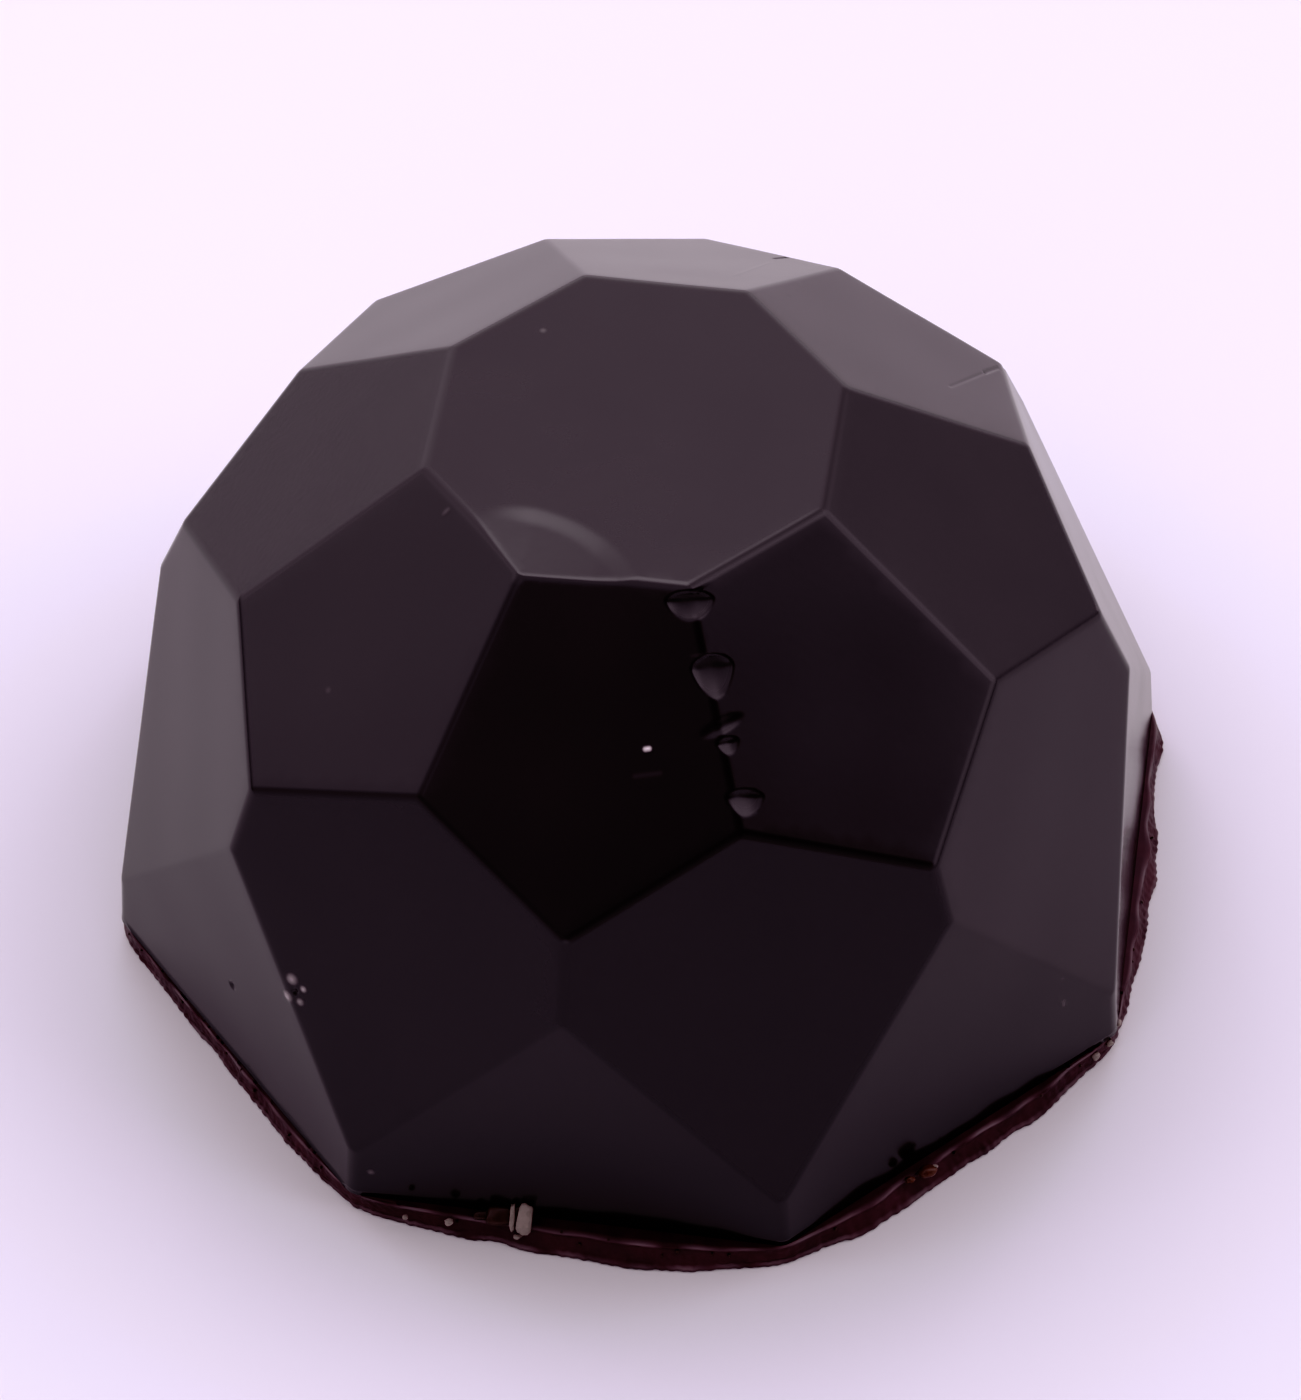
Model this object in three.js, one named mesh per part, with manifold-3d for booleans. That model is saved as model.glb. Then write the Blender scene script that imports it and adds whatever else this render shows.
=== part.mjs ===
// A moulded dark chocolate praline, in millimetres, +Z up.
// The origin is the middle of the flat underside, and the front facets look along -Y.
// A faceted dome stands on a thin closing layer, whose ragged rim stands proud of the dome's foot.
// Each tier of facets has one facet for each side, and the middle tier is turned by half a step.
// Sides are counted from the front one to the right and round.

import * as THREE from 'three';
import { ConvexGeometry } from 'three/addons/geometries/ConvexGeometry.js';
import { mergeVertices } from 'three/addons/utils/BufferGeometryUtils.js';
import Module from 'manifold-3d';

// Driving dimensions of the dome, measured across its flats, with its foot at height zero
const SIDES = 8;
const DOME_HEIGHT = 17.3;
const TABLE_WIDTH = 11;
const FOOT_WIDTH = 29.6;
const MIDDLE_SPAN = 33.1; // between opposite middle facets where they would reach the foot's level
const EDGE_RADIUS = 0.6;

// How far each tier's facets lean back from upright, in degrees
const UPPER_LEAN = 52;
const MIDDLE_LEAN = 21;
const LOWER_LEAN = 4.6;

// The mould is hand cut: two of its facets are a little off the regular form
const FRONT_LOWER_SETBACK = 0.1;
const FRONT_LOWER_STEEPER = 1.5;
const RIGHT_MIDDLE_TURN = 1.3;

// Trapped air left a row of pits down one upper edge, right of the front facet.
// along is the share of the edge's length from the table, aside is the shift across it to the right.
// turn is how far the pit is turned on the edge, in degrees.
const EDGE_PITS = [
  { along: 0.09, aside: -0.35, length: 0.7, width: 1.4, depth: 0.3, turn: 4 },
  { along: 0.34, aside: 0.02, length: 1, width: 1.3, depth: 0.32, turn: 13 },
  { along: 0.6, aside: 0.1, length: 0.9, width: 1, depth: 0.26, turn: 28 },
  { along: 0.85, aside: 0.3, length: 1, width: 1.2, depth: 0.32, turn: 17 },
];

// Driving dimensions of the closing layer, whose ledge flares out to its widest just above the underside
const LAYER_THICKNESS = 0.75;
const LAYER_CORNER_SHARPNESS = 60;
const LIP_SHARE = 0.5; // the share of the ledge's width that is level on top
const LIP_DROP = 0.08;
const WIDEST_HEIGHT = 0.12;
const UNDERCUT = 0.03;
const NARROWEST_LIP = 0.05;
const HIDDEN_RING_INSET = 1;

// How far the rim stands out of the foot on each side: at the corner before it, then at each quarter
const LEDGE_WIDTHS = [
  [0.1, 0.49, 0.74, 0.77],
  [0.28, 0.72, 0.63, 0.54],
  [0.12, 0.46, 0.66, 0.42],
  [0.3, 0.5, 0.56, 0.46],
  [0.26, 0.42, 0.45, 0.38],
  [0.22, 0.38, 0.36, 0.28],
  [0.14, 0.12, 0.1, 0.12],
  [0.13, 0.17, 0.23, 0.28],
];

// Places where the rim snapped off short or left a splinter, with the change of its width there
const RIM_SNAPS = [
  { side: 0, share: 0.34, change: -0.1, halfLength: 0.6 },
  { side: 2, share: 0.93, change: 0.2, halfLength: 0.6 },
];

// How ragged the rim is on each side
const RAGGEDNESS = [0.03, 0.05, 0.06, 0.1, 0.08, 0.07, 0.03, 0.03];
const OUTLINE_STEPS = 240;
const RAGGED_WAVES = [17, 29, 43, 61];
const RAGGED_SEED = 7;
const RANDOM_FACTOR = 16807;
const RANDOM_RANGE = 2147483647;

const FACET_STEP = (2 * Math.PI) / SIDES;
const HALF_STEP = FACET_STEP / 2;
const FRONT = -Math.PI / 2;
const ROUNDING_STEPS = 3;
const BALL_DETAIL = 3;
const CUT_MARGIN = 3;
const SHORTEST_EDGE = 0.005;
const SAME_POINT = 1e-5;
const SMALLEST_VOLUME = 1e-6; // of the corner that three planes make, below which two of them are parallel
const ON_PLANE = 1e-6;

// A facet's plane, from the way it faces, its lean and its distance from the axis at the foot's level
function facetPlane(azimuth, leanDegrees, footDistance) {
  const lean = THREE.MathUtils.degToRad(leanDegrees);
  const level = Math.cos(lean);
  const normal = new THREE.Vector3(level * Math.cos(azimuth), level * Math.sin(azimuth), Math.sin(lean));
  return new THREE.Plane(normal, -footDistance * level);
}

// One facet for each side, the first of them at the given azimuth
function facetTier(firstAzimuth, leanDegrees, footDistance) {
  const tier = [];
  for (let side = 0; side < SIDES; side += 1) {
    tier.push(facetPlane(firstAzimuth + side * FACET_STEP, leanDegrees, footDistance));
  }
  return tier;
}

// All facet planes of the dome, with the two that are off the regular form
function domeFacets() {
  const tableApothem = TABLE_WIDTH / 2;
  const upperFootDistance = tableApothem + DOME_HEIGHT * Math.tan(THREE.MathUtils.degToRad(UPPER_LEAN));
  const upper = facetTier(FRONT, UPPER_LEAN, upperFootDistance);
  const middle = facetTier(FRONT + HALF_STEP, MIDDLE_LEAN, MIDDLE_SPAN / 2);
  const lower = facetTier(FRONT, LOWER_LEAN, FOOT_WIDTH / 2);
  const frontDistance = FOOT_WIDTH / 2 - FRONT_LOWER_SETBACK;
  lower[0] = facetPlane(FRONT, LOWER_LEAN - FRONT_LOWER_STEEPER, frontDistance);
  const rightAzimuth = FRONT + FACET_STEP + HALF_STEP + THREE.MathUtils.degToRad(RIGHT_MIDDLE_TURN);
  middle[1] = facetPlane(rightAzimuth, MIDDLE_LEAN, MIDDLE_SPAN / 2);
  const table = new THREE.Plane(new THREE.Vector3(0, 0, 1), -DOME_HEIGHT);
  return { table, upper, middle, lower };
}

// The point where three planes meet, or null where they don't
function meet(a, b, c) {
  const bc = new THREE.Vector3().crossVectors(b.normal, c.normal);
  const volume = a.normal.dot(bc);
  if (Math.abs(volume) < SMALLEST_VOLUME) {
    return null;
  }
  const point = bc.multiplyScalar(-a.constant);
  point.addScaledVector(new THREE.Vector3().crossVectors(c.normal, a.normal), -b.constant);
  point.addScaledVector(new THREE.Vector3().crossVectors(a.normal, b.normal), -c.constant);
  return point.divideScalar(volume);
}

// The corners of the solid that lies behind all the planes, each with the planes that meet there
function cornersBehind(planes) {
  const corners = [];
  for (let i = 0; i < planes.length; i += 1) {
    for (let j = i + 1; j < planes.length; j += 1) {
      for (let k = j + 1; k < planes.length; k += 1) {
        const point = meet(planes[i], planes[j], planes[k]);
        if (point && planes.every((plane) => plane.distanceToPoint(point) < ON_PLANE)) {
          corners.push({ point, normals: [planes[i].normal, planes[j].normal, planes[k].normal] });
        }
      }
    }
  }
  return corners;
}

// Points of a ball round a corner that face outwards there, between the normals of its three planes
function cornerBall(corner, radius) {
  const points = [];
  for (let a = 0; a <= ROUNDING_STEPS; a += 1) {
    for (let b = 0; a + b <= ROUNDING_STEPS; b += 1) {
      const direction = new THREE.Vector3();
      direction.addScaledVector(corner.normals[0], a);
      direction.addScaledVector(corner.normals[1], b);
      direction.addScaledVector(corner.normals[2], ROUNDING_STEPS - a - b);
      direction.normalize();
      points.push(corner.point.clone().addScaledVector(direction, radius));
    }
  }
  return points;
}

// A convex solid behind the planes, with all its edges rounded
function roundedSolid(planes, radius) {
  const inset = planes.map((plane) => new THREE.Plane(plane.normal, plane.constant + radius));
  const points = cornersBehind(inset).flatMap((corner) => cornerBall(corner, radius));
  return new ConvexGeometry(points);
}

const wasm = await Module();
wasm.setup();

// A geometry as a solid that can be cut
function toManifold(geometry) {
  const bare = geometry.clone();
  bare.deleteAttribute('normal');
  bare.deleteAttribute('uv');
  const merged = mergeVertices(bare, SAME_POINT);
  const vertProperties = new Float32Array(merged.attributes.position.array);
  const triVerts = new Uint32Array(merged.index.array);
  return new wasm.Manifold(new wasm.Mesh({ numProp: 3, vertProperties, triVerts }));
}

// Back to a geometry, with edges too short to see closed up and the slivers between them dropped
function fromManifold(solid) {
  const mesh = solid.getMesh();
  const cut = new THREE.BufferGeometry();
  cut.setAttribute('position', new THREE.BufferAttribute(mesh.vertProperties, 3));
  cut.setIndex(new THREE.BufferAttribute(mesh.triVerts, 1));
  const geometry = mergeVertices(cut, SHORTEST_EDGE);
  const corners = geometry.index.array;
  const faces = [];
  for (let first = 0; first < corners.length; first += 3) {
    const face = [corners[first], corners[first + 1], corners[first + 2]];
    if (new Set(face).size === 3) {
      faces.push(...face);
    }
  }
  geometry.setIndex(faces);
  geometry.computeVertexNormals();
  return geometry;
}

// A flattened ball that cuts one pit, sunk to half its depth into the rounded edge
function pitCutter(pit, edgeTop, edgeBottom, outwards) {
  const down = new THREE.Vector3().subVectors(edgeBottom, edgeTop).normalize();
  const across = new THREE.Vector3().crossVectors(outwards, down).normalize();
  const centre = new THREE.Vector3().lerpVectors(edgeTop, edgeBottom, pit.along);
  centre.addScaledVector(across, -pit.aside);
  const ball = new THREE.IcosahedronGeometry(1, BALL_DETAIL);
  ball.scale(pit.width / 2, pit.length / 2, pit.depth);
  ball.rotateZ(THREE.MathUtils.degToRad(pit.turn));
  ball.applyMatrix4(new THREE.Matrix4().makeBasis(across, down, outwards).setPosition(centre));
  return ball;
}

// The faceted dome: a rounded solid that is carried on below its foot, then cut level and pitted
function domeGeometry() {
  const { table, upper, middle, lower } = domeFacets();
  const sunkFloor = new THREE.Plane(new THREE.Vector3(0, 0, -1), -CUT_MARGIN);
  const solid = roundedSolid([table, sunkFloor, ...upper, ...middle, ...lower], EDGE_RADIUS);

  const belowFoot = new THREE.BoxGeometry(2 * FOOT_WIDTH, 2 * FOOT_WIDTH, 2 * CUT_MARGIN);
  belowFoot.translate(0, 0, -CUT_MARGIN);
  let dome = toManifold(solid).subtract(toManifold(belowFoot));

  const edgeTop = meet(table, upper[0], upper[1]);
  const edgeBottom = meet(middle[0], upper[0], upper[1]);
  const outwards = new THREE.Vector3().addVectors(upper[0].normal, upper[1].normal).normalize();
  for (const pit of EDGE_PITS) {
    dome = dome.subtract(toManifold(pitCutter(pit, edgeTop, edgeBottom, outwards)));
  }
  return fromManifold(dome);
}

// A repeatable stream of numbers from 0 to 1
function seededRandom(seed) {
  let state = seed;
  return () => {
    state = (state * RANDOM_FACTOR) % RANDOM_RANGE;
    return state / RANDOM_RANGE;
  };
}

// Unevenness round the rim, about -1 to 1, a sum of waves that closes on itself
function raggedRule(seed) {
  const random = seededRandom(seed);
  const phases = RAGGED_WAVES.map(() => 2 * Math.PI * random());
  return (angle) => {
    let sum = 0;
    RAGGED_WAVES.forEach((waves, index) => {
      sum += Math.sin(waves * angle + phases[index]);
    });
    return sum / Math.sqrt(RAGGED_WAVES.length);
  };
}

// The distance from the axis to the foot's outline, an octagon with slightly rounded corners
function footReach(angle) {
  let sum = 0;
  for (let side = 0; side < SIDES; side += 1) {
    const facing = Math.cos(angle - FRONT - side * FACET_STEP);
    sum += Math.max(0, facing) ** LAYER_CORNER_SHARPNESS;
  }
  return FOOT_WIDTH / 2 / sum ** (1 / LAYER_CORNER_SHARPNESS);
}

// The side that an angle lies on, and the share of the side's length before it
function placeOnSide(angle) {
  const steps = (angle - FRONT + HALF_STEP) / FACET_STEP;
  const whole = Math.floor(steps);
  return { side: ((whole % SIDES) + SIDES) % SIDES, share: steps - whole };
}

// A smooth curve between two values, which takes its slopes from their neighbours
function between(before, start, end, after, share) {
  const slopeAtStart = (end - before) / 2;
  const slopeAtEnd = (after - start) / 2;
  const curve = THREE.MathUtils.smoothstep(share, 0, 1);
  const back = 1 - share;
  return start + (end - start) * curve + slopeAtStart * share * back ** 2 - slopeAtEnd * share ** 2 * back;
}

// The ledge's width at an angle, from the widths at the quarters of each side and the snapped places
function ledgeWidth(angle) {
  const { side, share } = placeOnSide(angle);
  const widths = LEDGE_WIDTHS.flat();
  const quarters = LEDGE_WIDTHS[0].length;
  const place = (side + share) * quarters;
  const first = Math.floor(place);
  const near = [-1, 0, 1, 2].map((step) => widths[(first + step + widths.length) % widths.length]);
  let width = between(...near, place - first);
  for (const snap of RIM_SNAPS) {
    const snapAngle = FRONT - HALF_STEP + (snap.side + snap.share) * FACET_STEP;
    const turned = THREE.MathUtils.euclideanModulo(angle - snapAngle + Math.PI, 2 * Math.PI);
    const apart = ((turned - Math.PI) * FOOT_WIDTH) / 2;
    width += snap.change * Math.exp(-((apart / snap.halfLength) ** 2));
  }
  return width;
}

// The closing layer: rings of points from the middle of its top, over the ragged rim, to its underside
function closingLayerGeometry() {
  const outlineRagged = raggedRule(RAGGED_SEED);
  const lipRagged = raggedRule(RAGGED_SEED + 1);
  const positions = [0, 0, LAYER_THICKNESS, 0, 0, 0];
  let rings = 0;

  for (let step = 0; step < OUTLINE_STEPS; step += 1) {
    const angle = FRONT + (2 * Math.PI * step) / OUTLINE_STEPS;
    const { side, share } = placeOnSide(angle);
    const rough = RAGGEDNESS[side] * Math.sqrt(Math.sin(Math.PI * share));
    const foot = footReach(angle);
    const width = ledgeWidth(angle);
    const rim = foot + width + rough * outlineRagged(angle);
    const lip = foot + Math.max(NARROWEST_LIP, width * LIP_SHARE + rough * lipRagged(angle));
    const profile = [
      [foot - HIDDEN_RING_INSET, LAYER_THICKNESS],
      [(foot + lip) / 2, LAYER_THICKNESS],
      [lip, LAYER_THICKNESS - LIP_DROP],
      [rim, WIDEST_HEIGHT],
      [rim - UNDERCUT, 0],
    ];
    rings = profile.length;
    for (const [reach, height] of profile) {
      positions.push(reach * Math.cos(angle), reach * Math.sin(angle), height);
    }
  }

  const vertex = (step, ring) => 2 + (step % OUTLINE_STEPS) * rings + ring;
  const faces = [];
  for (let step = 0; step < OUTLINE_STEPS; step += 1) {
    faces.push(0, vertex(step, 0), vertex(step + 1, 0));
    for (let ring = 0; ring < rings - 1; ring += 1) {
      faces.push(vertex(step, ring), vertex(step, ring + 1), vertex(step + 1, ring + 1));
      faces.push(vertex(step, ring), vertex(step + 1, ring + 1), vertex(step + 1, ring));
    }
    faces.push(1, vertex(step + 1, rings - 1), vertex(step, rings - 1));
  }
  const geometry = new THREE.BufferGeometry();
  geometry.setAttribute('position', new THREE.Float32BufferAttribute(positions, 3));
  geometry.setIndex(faces);
  geometry.computeVertexNormals();
  return geometry;
}

// Tempered dark chocolate with a mould gloss
const glossyChocolate = new THREE.MeshStandardMaterial({ color: 0x1c1215, roughness: 0.12, metalness: 0 });

// The same chocolate as it was scraped level and snapped, redder and duller
const scrapedChocolate = new THREE.MeshStandardMaterial({ color: 0x36171a, roughness: 0.4, metalness: 0 });

const dome = new THREE.Mesh(domeGeometry(), glossyChocolate);
dome.name = 'chocolate_dome';
dome.position.z = LAYER_THICKNESS;

const closingLayer = new THREE.Mesh(closingLayerGeometry(), scrapedChocolate);
closingLayer.name = 'closing_layer';

const praline = new THREE.Group();
praline.add(closingLayer, dome);

export default praline;
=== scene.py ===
import math

import bmesh
import bpy
import numpy as np
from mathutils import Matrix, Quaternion, Vector, geometry


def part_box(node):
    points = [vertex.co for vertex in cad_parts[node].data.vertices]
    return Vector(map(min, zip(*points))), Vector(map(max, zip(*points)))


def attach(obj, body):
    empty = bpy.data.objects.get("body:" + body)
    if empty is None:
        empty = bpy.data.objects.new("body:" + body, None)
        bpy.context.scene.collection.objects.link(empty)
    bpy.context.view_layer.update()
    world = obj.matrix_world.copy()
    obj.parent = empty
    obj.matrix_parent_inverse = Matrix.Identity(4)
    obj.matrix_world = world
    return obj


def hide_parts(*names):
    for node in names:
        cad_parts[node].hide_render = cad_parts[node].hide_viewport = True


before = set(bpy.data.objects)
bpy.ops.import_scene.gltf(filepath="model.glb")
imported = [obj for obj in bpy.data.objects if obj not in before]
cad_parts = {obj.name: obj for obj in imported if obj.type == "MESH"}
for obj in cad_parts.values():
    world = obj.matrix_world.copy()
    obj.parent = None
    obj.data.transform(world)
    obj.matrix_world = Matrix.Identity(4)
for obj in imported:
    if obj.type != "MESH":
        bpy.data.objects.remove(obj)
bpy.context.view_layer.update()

# The viewpoint: a camera held close above the praline, a little to the right of its front facets.
# Lengths are in millimetres all through this script, and MM turns them into Blender's metres.
MM = 0.001
VIEW_ELEVATION = math.radians(51)
VIEW_TURN = math.radians(9.43)
VIEW_ROLL = math.radians(-1.13)
VIEW_DISTANCE = 140.6
VIEW_AIM = Vector((0.68, -2.57, 9.4))
VIEW_LENS = 127.17
NEAREST_SEEN = 10
FURTHEST_SEEN = 20000

toward_camera = Vector((
    math.sin(VIEW_TURN) * math.cos(VIEW_ELEVATION),
    -math.cos(VIEW_TURN) * math.cos(VIEW_ELEVATION),
    math.sin(VIEW_ELEVATION),
))
camera_data = bpy.data.cameras.new("close_camera")
camera_data.lens = VIEW_LENS
camera_data.clip_start = NEAREST_SEEN * MM
camera_data.clip_end = FURTHEST_SEEN * MM
camera = bpy.data.objects.new("close_camera", camera_data)
camera.location = (VIEW_AIM + toward_camera * VIEW_DISTANCE) * MM
camera.rotation_mode = "QUATERNION"
level_look = (-toward_camera).to_track_quat("-Z", "Y")
camera.rotation_quaternion = level_look @ Quaternion((0, 0, 1), VIEW_ROLL)
bpy.context.scene.collection.objects.link(camera)
bpy.context.scene.camera = camera


# The moulded dome: tempered dark chocolate poured into a hard, polished mould with hand cut facets.
# It shrank a little as it set and came out glossy, with soft edges and a few pits where air was trapped.
# A flat eight-sided table on top, then three tiers of facets, the middle tier turned by half a step.
SIDES = 8
TABLE_WIDTH = 11
UPPER_LEAN = 52
MIDDLE_LEAN = 21
MIDDLE_SPAN = 33.1
LOWER_LEAN = 4.6
FRONT_LOWER_SETBACK = 0.1
FRONT_LOWER_STEEPER = 1.5
RIGHT_MIDDLE_TURN = math.radians(1.3)
EDGE_RADIUS = 0.58
BELOW_FOOT = 1
FACET_STEP = 2 * math.pi / SIDES
FRONT = -math.pi / 2

dome_low, dome_high = (np.array(corner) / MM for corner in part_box("chocolate_dome"))
foot_level = dome_low[2]
dome_height = dome_high[2] - foot_level
foot_apothem = dome_high[0]


def facet_plane(azimuth, lean_degrees, foot_distance):
    """A facet's outward normal and its distance from the origin, from where it meets the foot's level."""
    lean = math.radians(lean_degrees)
    level = math.cos(lean)
    normal = np.array([level * math.cos(azimuth), level * math.sin(azimuth), math.sin(lean)])
    return normal, foot_distance * level + foot_level * normal[2]


def dome_facets():
    """The named planes of the dome, with the two facets that are a little off the regular form."""
    upper_foot = TABLE_WIDTH / 2 + dome_height * math.tan(math.radians(UPPER_LEAN))
    facets = {"table": (np.array([0.0, 0.0, 1.0]), dome_high[2])}
    for side in range(SIDES):
        straight = FRONT + side * FACET_STEP
        turned = straight + FACET_STEP / 2
        facets["upper", side] = facet_plane(straight, UPPER_LEAN, upper_foot)
        facets["middle", side] = facet_plane(turned, MIDDLE_LEAN, MIDDLE_SPAN / 2)
        facets["lower", side] = facet_plane(straight, LOWER_LEAN, foot_apothem)
    front_lean = LOWER_LEAN - FRONT_LOWER_STEEPER
    facets["lower", 0] = facet_plane(FRONT, front_lean, foot_apothem - FRONT_LOWER_SETBACK)
    right_azimuth = FRONT + FACET_STEP * 3 / 2 + RIGHT_MIDDLE_TURN
    facets["middle", 1] = facet_plane(right_azimuth, MIDDLE_LEAN, MIDDLE_SPAN / 2)
    facets["sunk"] = (np.array([0.0, 0.0, -1.0]), BELOW_FOOT - foot_level)
    return facets


def meeting_point(planes):
    """The point where three planes meet, or None where they are nearly parallel."""
    normals = np.array([plane[0] for plane in planes])
    nearly_flat = 1e-6
    if abs(np.linalg.det(normals)) < nearly_flat:
        return None
    return np.linalg.solve(normals, [plane[1] for plane in planes])


def solid_corners(facets, inset):
    """Each corner of the solid behind the planes, moved in by inset, keyed by the three facets there."""
    moved = {name: (normal, distance - inset) for name, (normal, distance) in facets.items()}
    normals = np.array([plane[0] for plane in moved.values()])
    distances = np.array([plane[1] for plane in moved.values()])
    names = list(moved)
    tolerance = 1e-6
    corners = {}
    for i in range(len(names)):
        for j in range(i + 1, len(names)):
            for k in range(j + 1, len(names)):
                trio = (names[i], names[j], names[k])
                point = meeting_point([moved[name] for name in trio])
                if point is not None and (normals @ point - distances).max() < tolerance:
                    corners[trio] = point
    return corners


def rounded_direction(normals, weights):
    """The direction between several normals, weighted."""
    direction = sum(weight * normal for weight, normal in zip(weights, normals))
    return direction / np.linalg.norm(direction)


# The mesh's steps, which are closer along the pitted edge than elsewhere
PITTED_EDGE_SPACING = 0.05
ARC_STEPS = 6
EDGE_SPACING = 0.3
FACET_SPACING = 0.35
CLEAR_OF_OUTLINE = 0.55
NEARLY_LEVEL = 0.9


def hexagonal_grid(lowest, highest, spacing):
    """Evenly spaced points over a rectangle, in rows set half a step apart."""
    row_height = spacing * math.sqrt(3) / 2
    rows = np.arange(lowest[1], highest[1], row_height)
    points = []
    for index, row in enumerate(rows):
        shift = spacing / 2 * (index % 2)
        columns = np.arange(lowest[0] + shift, highest[0], spacing)
        points.append(np.stack([columns, np.full(len(columns), row)], -1))
    return np.concatenate(points) if points else np.zeros((0, 2))


def filled_facet(outline, corners, normal, spots):
    """Triangles over one facet, with its outline kept and points added inside, closer in the fine spots."""
    across = np.cross(normal, [0.0, 0.0, 1.0] if abs(normal[2]) < NEARLY_LEVEL else [0.0, 1.0, 0.0])
    across /= np.linalg.norm(across)
    along = np.cross(normal, across)
    frame_axes = np.stack([across, along], -1)
    height = outline[0] @ normal
    flat_outline = outline @ frame_axes
    flat_corners = corners @ frame_axes
    middle = flat_corners.mean(0)
    turns = np.arctan2(*(flat_corners - middle).T[::-1])
    ring = flat_corners[np.argsort(turns)]
    side = np.roll(ring, -1, 0) - ring
    inward = np.stack([-side[:, 1], side[:, 0]], -1) / np.linalg.norm(side, axis=1)[:, None]

    def well_inside(points, margin):
        clear = ((points[:, None, :] - ring[None]) * inward[None]).sum(-1)
        return points[clear.min(1) > margin]

    grid = hexagonal_grid(flat_outline.min(0), flat_outline.max(0), FACET_SPACING)
    inside = [well_inside(grid, FACET_SPACING * CLEAR_OF_OUTLINE)]
    for centre, radius, spacing in spots:
        if abs(centre @ normal - height) > radius:
            continue
        flat_centre = centre @ frame_axes
        kept = []
        for points in inside:
            kept.append(points[np.linalg.norm(points - flat_centre, axis=1) > radius + spacing])
        patch = hexagonal_grid(flat_centre - radius, flat_centre + radius, spacing)
        patch = patch[np.linalg.norm(patch - flat_centre, axis=1) < radius]
        inside = kept + [well_inside(patch, spacing * CLEAR_OF_OUTLINE)]
    flat_points = [Vector(point) for point in np.concatenate([flat_outline] + inside)]
    whole_outline = list(range(len(flat_outline)))
    only_inside_it = 1
    joined_within = 1e-5
    result = geometry.delaunay_2d_cdt(flat_points, [], [whole_outline], only_inside_it, joined_within)
    found = np.array([tuple(point) for point in result[0]])
    points = found @ frame_axes.T + height * normal
    return points, [list(face) for face in result[2]]


def rounded_solid(facets, radius, fine_edges, spots):
    """Points and faces of the solid behind the planes, its edges and corners rounded with one radius."""
    corners = solid_corners(facets, radius)
    points = []
    faces = []

    def add(new_points, new_faces):
        start = len(points)
        points.extend(new_points)
        faces.extend([[start + index for index in face] for face in new_faces])

    for trio, centre in corners.items():
        normals = [facets[name][0] for name in trio]
        index = {}
        ball = []
        for a in range(ARC_STEPS + 1):
            for b in range(ARC_STEPS + 1 - a):
                index[a, b] = len(ball)
                weights = (a, b, ARC_STEPS - a - b)
                ball.append(centre + radius * rounded_direction(normals, weights))
        patches = []
        for a in range(ARC_STEPS):
            for b in range(ARC_STEPS - a):
                patches.append([index[a, b], index[a + 1, b], index[a, b + 1]])
                if a + b < ARC_STEPS - 1:
                    patches.append([index[a + 1, b], index[a + 1, b + 1], index[a, b + 1]])
        add(ball, patches)

    edges = {}
    for trio in corners:
        for pair in ((trio[0], trio[1]), (trio[0], trio[2]), (trio[1], trio[2])):
            edges.setdefault(pair, []).append(trio)
    outlines = {name: {} for name in facets}
    for pair, ends in edges.items():
        start, end = corners[ends[0]], corners[ends[1]]
        length = np.linalg.norm(end - start)
        spacing = PITTED_EDGE_SPACING if pair in fine_edges else EDGE_SPACING
        steps = max(2, math.ceil(length / spacing))
        normals = [facets[name][0] for name in pair]
        rows = []
        for step in range(steps + 1):
            base = start + (end - start) * step / steps
            for arc in range(ARC_STEPS + 1):
                rows.append(base + radius * rounded_direction(normals, (ARC_STEPS - arc, arc)))
        width = ARC_STEPS + 1
        quads = []
        for step in range(steps):
            for arc in range(ARC_STEPS):
                corner = step * width + arc
                quads.append([corner, corner + 1, corner + width + 1, corner + width])
        add(rows, quads)
        grid = np.array(rows).reshape(steps + 1, width, 3)
        outlines[pair[0]][ends[0], ends[1]] = grid[:, 0]
        outlines[pair[1]][ends[0], ends[1]] = grid[:, ARC_STEPS]

    for name, pieces in outlines.items():
        links = {}
        for (first, last), run in pieces.items():
            links.setdefault(first, []).append((last, run))
            links.setdefault(last, []).append((first, run[::-1]))
        begin = next(iter(links))
        here, before = begin, None
        outline = []
        while True:
            onward, run = next(link for link in links[here] if link[0] != before)
            outline.append(run[:-1])
            here, before = onward, here
            if here == begin:
                break
        normal = facets[name][0]
        facet_corners = np.array([corners[trio] + radius * normal for trio in links])
        add(*filled_facet(np.concatenate(outline), facet_corners, normal, spots))
    return np.array(points), faces


def new_mesh(points, faces, pale):
    """A mesh from points in millimetres, each with its paleness, and its loose ends joined."""
    joined_within = 1e-4
    shape = bmesh.new()
    shape.verts.layers.float.new("pale")
    shape.verts.layers.float.new("dull")
    pale_layer = shape.verts.layers.float["pale"]
    dull_layer = shape.verts.layers.float["dull"]
    corners = []
    for point, paleness in zip(points, pale):
        corner = shape.verts.new(point)
        corner[pale_layer] = paleness
        corner[dull_layer] = paleness
        corners.append(corner)
    for face in faces:
        shape.faces.new([corners[index] for index in face])
    bmesh.ops.remove_doubles(shape, verts=shape.verts, dist=joined_within)
    return shape


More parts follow.
